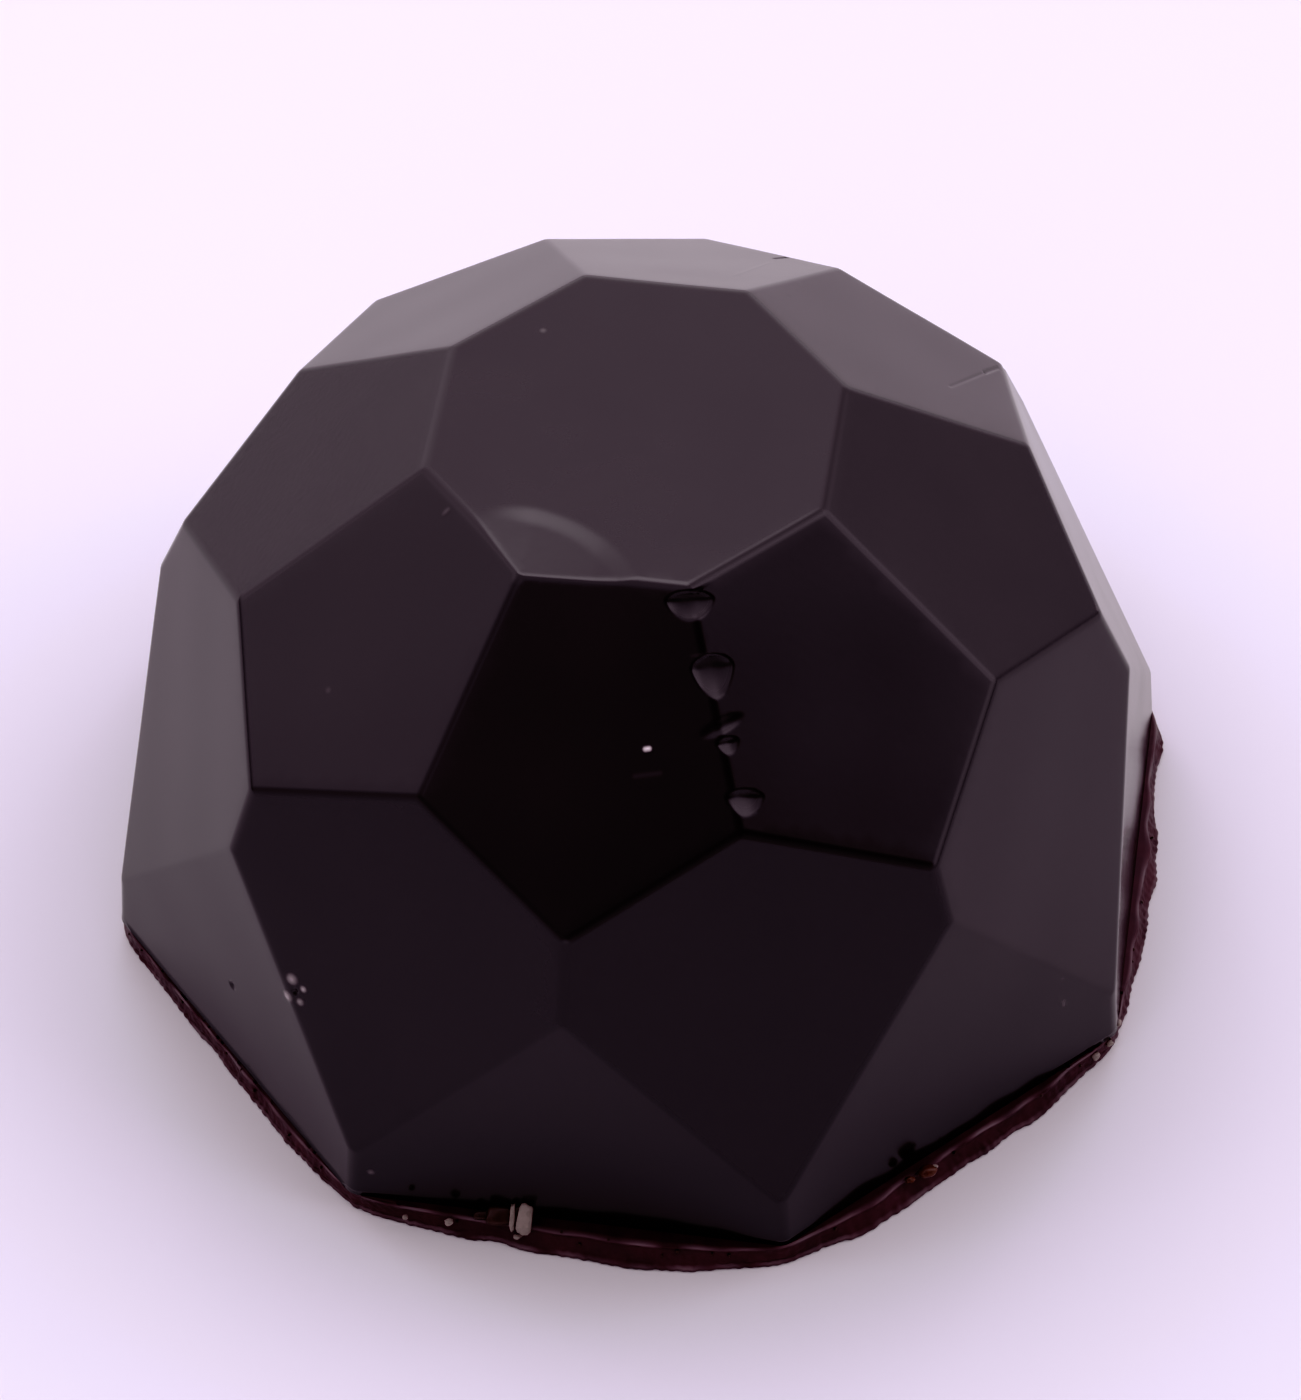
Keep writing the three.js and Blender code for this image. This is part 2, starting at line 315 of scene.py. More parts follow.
def finished_piece(name, shape, replaced, material):
    """Makes an object of a shape in millimetres, hangs it on the root body and hides the part it replaces.
    """
    bmesh.ops.recalc_face_normals(shape, faces=shape.faces)
    mesh = bpy.data.meshes.new(name)
    shape.to_mesh(mesh)
    shape.free()
    mesh.transform(((MM, 0, 0, 0), (0, MM, 0, 0), (0, 0, MM, 0), (0, 0, 0, 1)))
    mesh.shade_smooth()
    mesh.materials.append(material)
    piece = bpy.data.objects.new(name, mesh)
    bpy.context.scene.collection.objects.link(piece)
    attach(piece, "root")
    if replaced:
        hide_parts(replaced)


# Pits of trapped air: down the edge and aside to its left, and how each one ramps out from its deepest
EDGE_PITS = [
    {"down": 0.5, "aside": 0.07, "turn": 9,
     "length": 0.8, "width": 1.3, "depth": 0.18, "deepest": 0.3, "ramp": 1.4},
    {"down": 2.47, "aside": -0.16, "turn": 5,
     "length": 1.2, "width": 1.15, "depth": 0.22, "deepest": 0.3, "ramp": 1.2},
    {"down": 3.8, "aside": -0.12, "turn": -16,
     "length": 0.4, "width": 1.2, "depth": 0.045, "deepest": 0.5, "ramp": 2},
    {"down": 4.36, "aside": -0.16, "turn": 0,
     "length": 0.45, "width": 0.62, "depth": 0.08, "deepest": 0.3, "ramp": 1.3},
    {"down": 5.93, "aside": -0.3, "turn": 10,
     "length": 0.7, "width": 1.05, "depth": 0.115, "deepest": 0.3, "ramp": 1.3},
]
PIT_LIP = 0.02
PIT_DULL_DEPTH = 0.2
PIT_REACH = 0.85

facets = dome_facets()
edge_top = meeting_point([facets["table"], facets["upper", 0], facets["upper", 1]])
edge_bottom = meeting_point([facets["middle", 0], facets["upper", 0], facets["upper", 1]])
edge_out = rounded_direction([facets["upper", 0][0], facets["upper", 1][0]], (1, 1))
edge_down = (edge_bottom - edge_top) / np.linalg.norm(edge_bottom - edge_top)
edge_right = np.cross(edge_down, edge_out)

pit_places = []
for pit in EDGE_PITS:
    centre = edge_top + edge_down * pit["down"] + edge_right * pit["aside"]
    turn = math.radians(pit["turn"])
    down = edge_down * math.cos(turn) + edge_right * math.sin(turn)
    right = edge_right * math.cos(turn) - edge_down * math.sin(turn)
    pit_places.append((pit, centre, down, right))

# A shallow chip of the mould's form at the front left of the table, bounded by an arc through three points
CHIP_ARC = [(-4.05, -3.27), (-2.14, -3.17), (0.39, -4.53)]
CHIP_BAND = 0.62
CHIP_BAND_SLOPE = math.tan(math.radians(6.5))
CHIP_REST_SLOPE = math.tan(math.radians(2))
CHIP_SOFT_START = 0.12
CHIP_BLEND = 0.06
CHIP_FADE_PLACES = (-4, -3.3, -2.3, -0.3, 0.7)
CHIP_FADE = (0, 0.35, 1, 1, 0.6)
CHIP_SPOT = ((-1.9, -4.2), 2.7, 0.15)
CHIP_EDGE_SPOTS = np.arange(-3.6, 0.8, 0.6)
CHIP_EDGE_RADIUS = 0.55
CHIP_EDGE_SPACING = 0.07
SMALLEST_BLEND = 1e-6

# Each spot that needs a closer mesh has its centre, its radius and the spacing of the points there
chip_centre, chip_radius, chip_spacing = CHIP_SPOT
spots = [(np.array([*chip_centre, dome_high[2]]), chip_radius, chip_spacing)]
for spot_x in CHIP_EDGE_SPOTS:
    spots.append((np.array([spot_x, edge_top[1], dome_high[2]]), CHIP_EDGE_RADIUS, CHIP_EDGE_SPACING))
for pit, centre, down, right in pit_places:
    spots.append((centre, PIT_REACH, PITTED_EDGE_SPACING))

# Scratches, specks and dots, each along a line or at one point, raised or sunk and more or less pale
MARKS = [
    {"ends": ((9.47, 9.42, 11.82), (8.95, 8.05, 12.95)), "half_width": 0.12, "rise": -0.03, "pale": 0},
    {"ends": ((8.95, 8.05, 12.95), (8.12, 5.8, 14.6)), "half_width": 0.1, "rise": -0.015, "pale": 0},
    {"ends": ((2.4, 11.0, 13.75), (2.91, 11.65, 13.24)), "half_width": 0.12, "rise": -0.035, "pale": 0},
    {"ends": ((1.67, 7.69, 16.34), (2.34, 10.28, 14.32)), "half_width": 0.1, "rise": 0.004, "pale": 0},
    {"ends": ((3.38, 6.71, 16.77), (3.51, 7.93, 16.02)), "half_width": 0.1, "rise": 0.004, "pale": 0},
    {"ends": ((1.38, -9.58, 14.86), (2.04, -9.46, 14.96)), "half_width": 0.12, "rise": 0, "pale": 0.02},
    {"ends": ((2.55, -6.95, 16.95), (3.05, -6.8, 16.95)), "half_width": 0.08, "rise": 0, "pale": 0.02},
    {"ends": ((4.5, -9.75, 14.45), (4.95, -9.5, 14.5)), "half_width": 0.08, "rise": 0, "pale": 0.02},
    {"ends": ((-4.75, -3.62, 17.77), (-4.6, -3.5, 17.82)), "half_width": 0.1, "rise": 0.005, "pale": 0.05},
    {"ends": ((-3.11, 3.22, 18.05),), "half_width": 0.13, "rise": 0, "pale": 0.1},
    {"ends": ((1.58, -9.0, 15.33), (1.68, -8.96, 15.32)), "half_width": 0.1, "rise": 0.04, "pale": 1},
    {"ends": ((-7.44, -7.29, 14.21),), "half_width": 0.14, "rise": 0, "pale": 0.03},
    # Four pale spots round the small bubbles at the front left: small real bumps, their paleness a painted
    # highlight on the bubbles' rims
    {"ends": ((-8.02, -11.97, 7.07),), "half_width": 0.24, "rise": 0.03, "pale": 0.35},
    {"ends": ((-8.17, -12.11, 6.43),), "half_width": 0.24, "rise": 0.03, "pale": 0.45},
    {"ends": ((-7.76, -12.31, 6.5),), "half_width": 0.16, "rise": 0.02, "pale": 0.3},
    {"ends": ((-7.67, -12.17, 6.93),), "half_width": 0.14, "rise": 0.01, "pale": 0.45},
    {"ends": ((-7.92, -12.15, 6.74),), "half_width": 0.14, "rise": -0.06, "pale": 0},
    {"ends": ((-10.32, -10.25, 3.96),), "half_width": 0.19, "rise": -0.06, "pale": 0},
    {"ends": ((-5.58, -14.64, 1.91),), "half_width": 0.16, "rise": 0.015, "pale": 0.1},
    {"ends": ((12.98, 0.25, 12.21),), "half_width": 0.11, "rise": 0.01, "pale": 0.4},
    {"ends": ((13.14, -7.32, 4.85),), "half_width": 0.12, "rise": 0, "pale": 0.04},
    {"ends": ((13.22, -7.37, 3.8), (13.24, -7.36, 3.6)), "half_width": 0.11, "rise": 0, "pale": 0.05},
]
MARK_STEP = 0.3
MARK_MARGIN = 0.2
MARK_SPACING = 0.035
for mark in MARKS:
    begin, finish = np.array(mark["ends"][0]), np.array(mark["ends"][-1])
    steps = 1 + math.ceil(np.linalg.norm(finish - begin) / MARK_STEP)
    for share in np.linspace(0, 1, steps):
        spots.append((begin + (finish - begin) * share, mark["half_width"] + MARK_MARGIN, MARK_SPACING))


def smooth_step(share):
    """A share from 0 to 1, with a soft start and a soft end."""
    return share * share * (3 - 2 * share)


def draw_marks(points, facing):
    """Raises or sinks the surface in the fine marks, and gives how pale they make each point."""
    pale = np.zeros(len(points))
    for mark in MARKS:
        begin, finish = np.array(mark["ends"][0]), np.array(mark["ends"][-1])
        way = finish - begin
        length_squared = max(way @ way, mark["half_width"] ** 2)
        share = np.clip((points - begin) @ way / length_squared, 0, 1)
        apart = np.linalg.norm(points - begin - np.outer(share, way), axis=1)
        strength = smooth_step(np.clip(1 - apart / mark["half_width"], 0, 1))
        points += facing * (mark["rise"] * strength)[:, None]
        pale = np.maximum(pale, mark["pale"] * strength)
    return pale


# The middle and the radius of the chip's arc, from its three points
(left_x, left_y), (top_x, top_y), (right_x, right_y) = CHIP_ARC
arc_matrix = [[2 * (top_x - left_x), 2 * (top_y - left_y)], [2 * (right_x - left_x), 2 * (right_y - left_y)]]
arc_values = [top_x ** 2 + top_y ** 2 - left_x ** 2 - left_y ** 2,
              right_x ** 2 + right_y ** 2 - left_x ** 2 - left_y ** 2]
arc_middle = np.linalg.solve(arc_matrix, arc_values)
arc_radius = math.hypot(left_x - arc_middle[0], left_y - arc_middle[1])


def smaller_smoothly(a, b, blend):
    """The smaller of two heights, with the crease between them rounded."""
    mix = np.clip(0.5 + (b - a) / (2 * blend), 0, 1)
    return b * (1 - mix) + a * mix - blend * mix * (1 - mix)


def sink_chip(points):
    """Lowers the chipped part of the table: a steep band below the arc, then a gentler slope."""
    inside = np.clip(arc_radius - np.linalg.norm(points[:, :2] - arc_middle, axis=1), 0, None)
    band = np.minimum(inside, CHIP_BAND)
    band = np.where(band < CHIP_SOFT_START, band ** 2 / (2 * CHIP_SOFT_START), band - CHIP_SOFT_START / 2)
    steepness = np.interp(points[:, 0], CHIP_FADE_PLACES, CHIP_FADE)
    depth = band * CHIP_BAND_SLOPE * steepness + np.clip(inside - CHIP_BAND, 0, None) * CHIP_REST_SLOPE
    blend = np.minimum(CHIP_BLEND, depth) + SMALLEST_BLEND
    lowered = smaller_smoothly(points[:, 2], dome_high[2] - depth, blend)
    points[:, 2] = np.where(inside > 0, lowered, points[:, 2])


def sink_pits(points):
    """Sinks the pits, and gives how dull each point is: most are steep at the top with a long ramp out."""
    dull = np.zeros(len(points))
    for pit, centre, down, right in pit_places:
        offset = points - centre
        near = np.linalg.norm(offset, axis=1) < 2 * PIT_REACH
        along = offset[near] @ down
        deepest = (pit["deepest"] - 0.5) * pit["length"]
        above = np.clip((deepest - along) / (pit["deepest"] * pit["length"]), 0, None)
        below = np.clip((along - deepest) / ((1 - pit["deepest"]) * pit["length"]), 0, None)
        sides = np.abs(offset[near] @ right) / (pit["width"] / 2)
        rise = above ** 2 + below ** pit["ramp"] + sides ** 2
        sunk = smaller_smoothly(0, pit["depth"] * (rise - 1), PIT_LIP)
        points[near] += np.outer(sunk, edge_out)
        dull[near] = np.maximum(dull[near], np.clip(-sunk / PIT_DULL_DEPTH, 0, 1))
    return dull


# Each wave's direction and start
WAVES = [
    ((0.9, 0.5, 0.3), 0.4),
    ((-0.4, 1.1, 0.6), 1.9),
    ((0.7, -0.8, 1.2), 4.1),
    ((-1.3, -0.4, 0.8), 2.7),
]
WAVE_HEIGHT = 0.0025


def ripple(points, facing):
    """The faint unevenness of a hand polished mould, all of it inwards."""
    total = np.zeros(len(points))
    for direction, phase in WAVES:
        total += np.sin(points @ np.array(direction) + phase)
    depth = WAVE_HEIGHT * (total + len(WAVES))
    points -= facing * depth[:, None]


# The edges where pits, marks or the chip's end lie have a closer mesh
FINE_EDGES = {(("upper", 0), ("upper", 1)), (("middle", 7), ("lower", 7)), ("table", ("upper", 0))}
CUT_WITHIN = 1e-5
JOINED_AFTER_CUT = 1e-3
AT_FOOT_WITHIN = 1e-4
dome_points, dome_faces = rounded_solid(facets, EDGE_RADIUS, FINE_EDGES, spots)
shape = new_mesh(dome_points, dome_faces, np.zeros(len(dome_points)))
bmesh.ops.bisect_plane(
    shape, geom=shape.verts[:] + shape.edges[:] + shape.faces[:], dist=CUT_WITHIN,
    plane_co=(0, 0, foot_level), plane_no=(0, 0, -1), clear_outer=True)
bmesh.ops.remove_doubles(shape, verts=shape.verts, dist=JOINED_AFTER_CUT)
open_edges = [edge for edge in shape.edges if edge.is_boundary]
bmesh.ops.holes_fill(shape, edges=open_edges, sides=0)
bmesh.ops.recalc_face_normals(shape, faces=shape.faces)
shape.normal_update()
shape.verts.ensure_lookup_table()
points = np.array([tuple(vert.co) for vert in shape.verts])
facing = np.array([tuple(vert.normal) for vert in shape.verts])
at_foot = points[:, 2] < foot_level + AT_FOOT_WITHIN
before = points.copy()
ripple(points, facing)
dull = sink_pits(points)
sink_chip(points)
pale = draw_marks(points, facing)
points[at_foot] = before[at_foot]
dull = np.maximum(dull, pale)
pale_layer = shape.verts.layers.float["pale"]
dull_layer = shape.verts.layers.float["dull"]
for vert, point, paleness, dullness in zip(shape.verts, points, pale, dull):
    vert.co = point
    vert[pale_layer] = paleness
    vert[dull_layer] = dullness


# The finish of chocolate: broad patches of noise tint it and vary its polish, and a finer one is its grain
PATCH_DETAIL = 3
GRAIN_DETAIL = 2
LEAST_PATCHY = 0.3
MOST_PATCHY = 0.7


def add_sockets(group, way, sockets):
    """Adds named inputs or outputs to a node group, each of its own kind."""
    for name, kind in sockets.items():
        group.interface.new_socket(name, in_out=way, socket_type=kind)


def cocoa_group():
    """Mottled colour, uneven polish and fine grain of chocolate, shared by the dome, its base and crumbs."""
    group = bpy.data.node_groups.new("cocoa_surface", "ShaderNodeTree")
    add_sockets(group, "INPUT", {
        "Deep Colour": "NodeSocketColor", "Light Colour": "NodeSocketColor",
        "Patch Scale": "NodeSocketFloat", "Grain Scale": "NodeSocketFloat",
        "Smoothest": "NodeSocketFloat", "Roughest": "NodeSocketFloat",
    })
    add_sockets(group, "OUTPUT", {
        "Colour": "NodeSocketColor", "Roughness": "NodeSocketFloat", "Height": "NodeSocketFloat",
    })
    nodes, links = group.nodes, group.links
    given = nodes.new("NodeGroupInput")
    result = nodes.new("NodeGroupOutput")
    place = nodes.new("ShaderNodeTexCoord")
    patches = nodes.new("ShaderNodeTexNoise")
    patches.inputs["Detail"].default_value = PATCH_DETAIL
    links.new(place.outputs["Object"], patches.inputs["Vector"])
    links.new(given.outputs["Patch Scale"], patches.inputs["Scale"])
    grain = nodes.new("ShaderNodeTexNoise")
    grain.inputs["Detail"].default_value = GRAIN_DETAIL
    links.new(place.outputs["Object"], grain.inputs["Vector"])
    links.new(given.outputs["Grain Scale"], grain.inputs["Scale"])
    tint = nodes.new("ShaderNodeMix")
    tint.data_type = "RGBA"
    links.new(patches.outputs["Fac"], tint.inputs["Factor"])
    links.new(given.outputs["Deep Colour"], tint.inputs["A"])
    links.new(given.outputs["Light Colour"], tint.inputs["B"])
    polish = nodes.new("ShaderNodeMapRange")
    links.new(patches.outputs["Fac"], polish.inputs["Value"])
    polish.inputs["From Min"].default_value = LEAST_PATCHY
    polish.inputs["From Max"].default_value = MOST_PATCHY
    links.new(given.outputs["Smoothest"], polish.inputs["To Min"])
    links.new(given.outputs["Roughest"], polish.inputs["To Max"])
    links.new(tint.outputs["Result"], result.inputs["Colour"])
    links.new(polish.outputs["Result"], result.inputs["Roughness"])
    links.new(grain.outputs["Fac"], result.inputs["Height"])
    return group


cocoa = cocoa_group()
# The pale colour of real marks and dust, also used for painted highlights on the rim's edges and the small
# bubbles
PALE_MARK_AND_HIGHLIGHT_COLOUR = (0.8, 0.72, 0.73, 1)
SCUFFED_ROUGHNESS = 0.55


def chocolate_material(name, deep, light, patch_scale, grain_scale, smoothest, roughest, grain_depth, ior):
    """A chocolate finish: the shared surface, paler and duller in the marks and in the painted highlights,
    feeds a Principled shader.
    """
    material = bpy.data.materials.new(name)
    material.use_nodes = True
    nodes, links = material.node_tree.nodes, material.node_tree.links
    shader = nodes["Principled BSDF"]
    shader.inputs["IOR"].default_value = ior
    surface = nodes.new("ShaderNodeGroup")
    surface.node_tree = cocoa
    settings = {
        "Deep Colour": (*deep, 1), "Light Colour": (*light, 1), "Patch Scale": patch_scale,
        "Grain Scale": grain_scale, "Smoothest": smoothest, "Roughest": roughest,
    }
    for setting, value in settings.items():
        surface.inputs[setting].default_value = value
    bump = nodes.new("ShaderNodeBump")
    bump.inputs["Distance"].default_value = grain_depth * MM
    links.new(surface.outputs["Height"], bump.inputs["Height"])
    links.new(bump.outputs["Normal"], shader.inputs["Normal"])
    pale = nodes.new("ShaderNodeAttribute")
    pale.attribute_name = "pale"
    tint = nodes.new("ShaderNodeMix")
    tint.data_type = "RGBA"
    links.new(pale.outputs["Fac"], tint.inputs["Factor"])
    links.new(surface.outputs["Colour"], tint.inputs["A"])
    tint.inputs["B"].default_value = PALE_MARK_AND_HIGHLIGHT_COLOUR
    dull = nodes.new("ShaderNodeAttribute")
    dull.attribute_name = "dull"
    scuffed = nodes.new("ShaderNodeMix")
    links.new(dull.outputs["Fac"], scuffed.inputs["Factor"])
    links.new(surface.outputs["Roughness"], scuffed.inputs["A"])
    scuffed.inputs["B"].default_value = SCUFFED_ROUGHNESS
    links.new(tint.outputs["Result"], shader.inputs["Base Color"])
    links.new(scuffed.outputs["Result"], shader.inputs["Roughness"])
    return material


glossy_chocolate = chocolate_material(
    "glossy_chocolate", deep=(0.016, 0.0125, 0.0125), light=(0.021, 0.0165, 0.0165),
    patch_scale=250, grain_scale=5000, smoothest=0.14, roughest=0.18, grain_depth=0.0007, ior=1.49)
finished_piece("moulded_dome", shape, "chocolate_dome", glossy_chocolate)


# The closing layer: chocolate spread over the full mould and scraped level, so it closes the dome's back.
# It stands a little proud of the dome's foot, with a ragged rim where the surplus was snapped off.
LAYER_CORNER_SHARPNESS = 60
LIP_SHARE = 0.5
LIP_DROP = 0.08
WIDEST_HEIGHT = 0.12
UNDERCUT = 0.03
NARROWEST_LIP = 0.05

# The ledge's width at the quarters of each side, from the front side round by the right
LEDGE_WIDTHS = [
    [0.1, 0.49, 0.74, 0.77],
    [0.28, 0.72, 0.63, 0.54],
    [0.12, 0.46, 0.66, 0.42],
    [0.3, 0.5, 0.56, 0.46],
    [0.26, 0.42, 0.45, 0.38],
    [0.22, 0.38, 0.36, 0.28],
    [0.14, 0.12, 0.1, 0.12],
    [0.13, 0.17, 0.23, 0.28],
]
RIM_SNAPS = [
    {"side": 0, "share": 0.34, "change": -0.1, "half_length": 0.6},
    {"side": 2, "share": 0.93, "change": 0.2, "half_length": 0.6},
]
RAGGEDNESS = [0.03, 0.05, 0.06, 0.1, 0.08, 0.07, 0.03, 0.03]
RAGGED_WAVES = [17, 29, 43, 61]
RAGGED_SEED = 7
RANDOM_FACTOR = 16807
RANDOM_RANGE = 2147483647
OUTLINE_STEPS = 1920
CHIP_WAVES = (60, 420)
CHIP_COUNT = 40
CHIP_CALMNESS = 8
CHIP_DEPTH = 0.05
STEEPEST_FACE = 0.02
UNDER_DOME = 1
JUST_UNDER_DOME = 0.05
LEDGE_HOLLOW = 0.01
LIP_BEAD = 0.06
LIP_BEVEL = 0.015
FOOT_BEVEL = 0.08
FACE_RINGS = [0.1, 0.2, 0.3, 0.4, 0.5, 0.6, 0.7, 0.8]
FACE_HOLLOW = 1.2
FACE_SETBACK = 0.03
STRIATION_DEPTH = 0.03
# The lip's and the foot's rounded edges are painted paler in broken lines: painted highlights where they
# catch the light
LIP_PAINTED_HIGHLIGHT = 0.16
FOOT_PAINTED_HIGHLIGHT = 0.12
HIGHLIGHT_WAVES = (9, 90)
LEDGE_SEED = 20
FACE_SEED = 30
LIP_HIGHLIGHT_SEED = 50
FOOT_HIGHLIGHT_SEED = 51
KEPT_INSIDE = 0.004

# The layer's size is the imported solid's, and its outline is worked out from the dome's foot
layer_low, layer_high = (np.array(corner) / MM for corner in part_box("closing_layer"))
layer_top = layer_high[2]


def seeded_phases(seed, count):
    """Repeatable wave phases from a small random stream."""
    phases = []
    state = seed
    for _ in range(count):
        state = state * RANDOM_FACTOR % RANDOM_RANGE
        phases.append(2 * math.pi * state / RANDOM_RANGE)
    return phases


def ragged(angles, seed):
    """Unevenness round the rim, about -1 to 1, a sum of waves that closes on itself."""
    total = 0
    for waves, phase in zip(RAGGED_WAVES, seeded_phases(seed, len(RAGGED_WAVES))):
        total = total + np.sin(waves * angles + phase)
    return total / math.sqrt(len(RAGGED_WAVES))


def ledge_width(angles, place):
    """The ledge's width from the widths at the quarters of each side and the snapped places."""
    widths = np.array(LEDGE_WIDTHS).ravel()
    quarter = place * len(LEDGE_WIDTHS[0])
    first = np.floor(quarter).astype(int)
    share = quarter - first
    before, start, end, after = (widths[(first + step) % len(widths)] for step in (-1, 0, 1, 2))
    width = start + (end - start) * smooth_step(share)
    width += (end - before) / 2 * share * (1 - share) ** 2 - (after - start) / 2 * share ** 2 * (1 - share)
    for snap in RIM_SNAPS:
        snap_angle = FRONT + (snap["side"] + snap["share"] - 0.5) * FACET_STEP
        apart = (np.mod(angles - snap_angle + math.pi, 2 * math.pi) - math.pi) * foot_apothem
        width += snap["change"] * np.exp(-(apart / snap["half_length"]) ** 2)
    return width


def chipped(angles, seed, wave_range=CHIP_WAVES):
    """Fine snapped edges round the rim, from 0 to 1, made of many short waves."""
    random = np.random.default_rng(seed)
    total = 0
    for waves in random.integers(*wave_range, CHIP_COUNT):
        total = total + np.sin(waves * angles + random.uniform(0, 2 * math.pi))
    return np.clip(0.5 + total / math.sqrt(CHIP_CALMNESS * CHIP_COUNT), 0, 1)


angles = FRONT + 2 * math.pi * np.arange(OUTLINE_STEPS) / OUTLINE_STEPS
facing_sides = np.cos(angles[:, None] - FRONT - FACET_STEP * np.arange(SIDES)[None])
reach_sum = (np.clip(facing_sides, 0, None) ** LAYER_CORNER_SHARPNESS).sum(1)
foot_reach = foot_apothem / reach_sum ** (1 / LAYER_CORNER_SHARPNESS)
place = np.mod((angles - FRONT) / FACET_STEP + 0.5, SIDES)
side_index = np.floor(place).astype(int)
fullness = np.sqrt(np.abs(np.sin(math.pi * (place - side_index))))
rough = np.array(RAGGEDNESS)[side_index] * fullness
width = ledge_width(angles, place)
rim = foot_reach + width + rough * ragged(angles, RAGGED_SEED)
lip = foot_reach + np.clip(width * LIP_SHARE + rough * ragged(angles, RAGGED_SEED + 1), NARROWEST_LIP, None)
rim = rim - CHIP_DEPTH * chipped(angles, RAGGED_SEED)
lip = np.minimum(lip, rim - STEEPEST_FACE)
face = rim - lip
lip_low = layer_top - LIP_DROP
fall = lip_low - WIDEST_HEIGHT
# Painted highlights along the lip's and the foot's edges, broken up at random
lip_painted_highlight = LIP_PAINTED_HIGHLIGHT * chipped(angles, LIP_HIGHLIGHT_SEED, HIGHLIGHT_WAVES)
foot_painted_highlight = FOOT_PAINTED_HIGHLIGHT * chipped(angles, FOOT_HIGHLIGHT_SEED, HIGHLIGHT_WAVES)

# The layer's section from its middle outwards and down: each ring's reach, height and paleness, which is a
# painted highlight on the lip's and the foot's rounded edges
profile = [
    (foot_reach - UNDER_DOME, layer_top, 0),
    (foot_reach - JUST_UNDER_DOME, layer_top, 0),
    ((foot_reach + lip) / 2, layer_top - LEDGE_HOLLOW * (1 + chipped(angles, LEDGE_SEED)), 0),
    (lip - LIP_BEAD, layer_top - LIP_BEVEL, lip_painted_highlight / 2),
    (lip - LIP_BEVEL, (layer_top - LIP_BEVEL + lip_low) / 2, lip_painted_highlight),
    (lip, lip_low, lip_painted_highlight / 2),
]
for ring, share_down in enumerate(FACE_RINGS):
    groove = STRIATION_DEPTH * (chipped(angles, FACE_SEED + ring) - 0.5)
    reach = lip + face * share_down ** FACE_HOLLOW - FACE_SETBACK + groove
    profile.append((reach, lip_low - fall * share_down, 0))
profile += [
    (rim - FOOT_BEVEL, WIDEST_HEIGHT + FOOT_BEVEL, foot_painted_highlight / 2),
    (rim - FOOT_BEVEL / 4, WIDEST_HEIGHT + FOOT_BEVEL / 2, foot_painted_highlight),
    (rim, WIDEST_HEIGHT - FOOT_BEVEL / 4, foot_painted_highlight / 2),
    (rim - UNDERCUT / 2, WIDEST_HEIGHT / 3, 0),
    (rim - UNDERCUT, 0, 0),
    (foot_reach - UNDER_DOME, 0, 0),
]
layer_points = [(0, 0, layer_top), (0, 0, 0)]
layer_painted_highlight = [0, 0]
first_ring = len(layer_points)
for reach, height, paleness in profile:
    ring = np.stack(np.broadcast_arrays(reach * np.cos(angles), reach * np.sin(angles), height), -1)
    layer_points.extend(ring)
    layer_painted_highlight.extend(np.broadcast_to(paleness, len(angles)))
layer_faces = []
last_ring = first_ring + (len(profile) - 1) * OUTLINE_STEPS
for step in range(OUTLINE_STEPS):
    onward = (step + 1) % OUTLINE_STEPS
    layer_faces.append([0, first_ring + step, first_ring + onward])
    layer_faces.append([1, last_ring + onward, last_ring + step])
    for ring in range(len(profile) - 1):
        inner = first_ring + ring * OUTLINE_STEPS
        outer = inner + OUTLINE_STEPS
        layer_faces.append([inner + step, outer + step, outer + onward, inner + onward])
layer_points = np.array(layer_points)
layer_points[:, :2] = np.clip(layer_points[:, :2], layer_low[:2] + KEPT_INSIDE, layer_high[:2] - KEPT_INSIDE)
layer_shape = new_mesh(layer_points, layer_faces, layer_painted_highlight)
scraped_chocolate = chocolate_material(
    "scraped_chocolate", deep=(0.031, 0.014, 0.0165), light=(0.095, 0.048, 0.052),
    patch_scale=1200, grain_scale=9000, smoothest=0.3, roughest=0.5, grain_depth=0.008, ior=1.3)
finished_piece("scraped_base", layer_shape, "closing_layer", scraped_chocolate)


